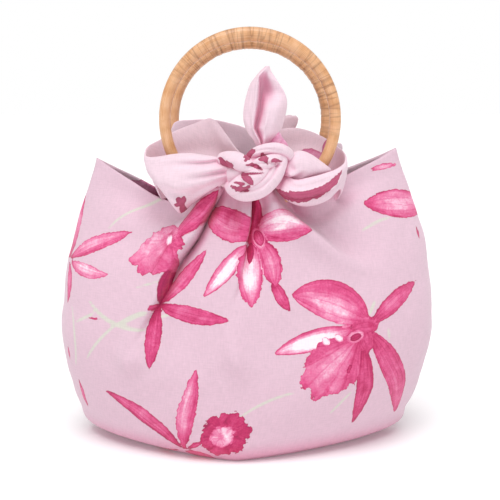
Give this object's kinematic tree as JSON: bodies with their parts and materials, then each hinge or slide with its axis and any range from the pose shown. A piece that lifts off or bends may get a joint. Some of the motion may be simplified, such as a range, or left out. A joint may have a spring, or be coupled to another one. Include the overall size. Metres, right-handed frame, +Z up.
{
  "type": "knot bag with ring handles",
  "caption": "Soft printed cotton bag made from one square cloth, tied in a bow-like knot round cane ring handles, with ear-shaped sides and a flat base.",
  "frame": {"origin": "on the floor under the middle of the bag's outline", "axes": "+Z up through the handles, -Y out of the front knot, +X to the right seen from the front"},
  "size_m": [0.3318, 0.1782, 0.3585],
  "materials": {
    "printed_cotton": "pale pink plain-weave cotton printed with magenta orchids, matt",
    "natural_cane": "clear-lacquered natural cane, satin"
  },
  "bodies": {
    "root": {"cloth": "printed_cotton", "ring_front": "natural_cane", "ring_back": "natural_cane"}
  },
  "joints": []
}
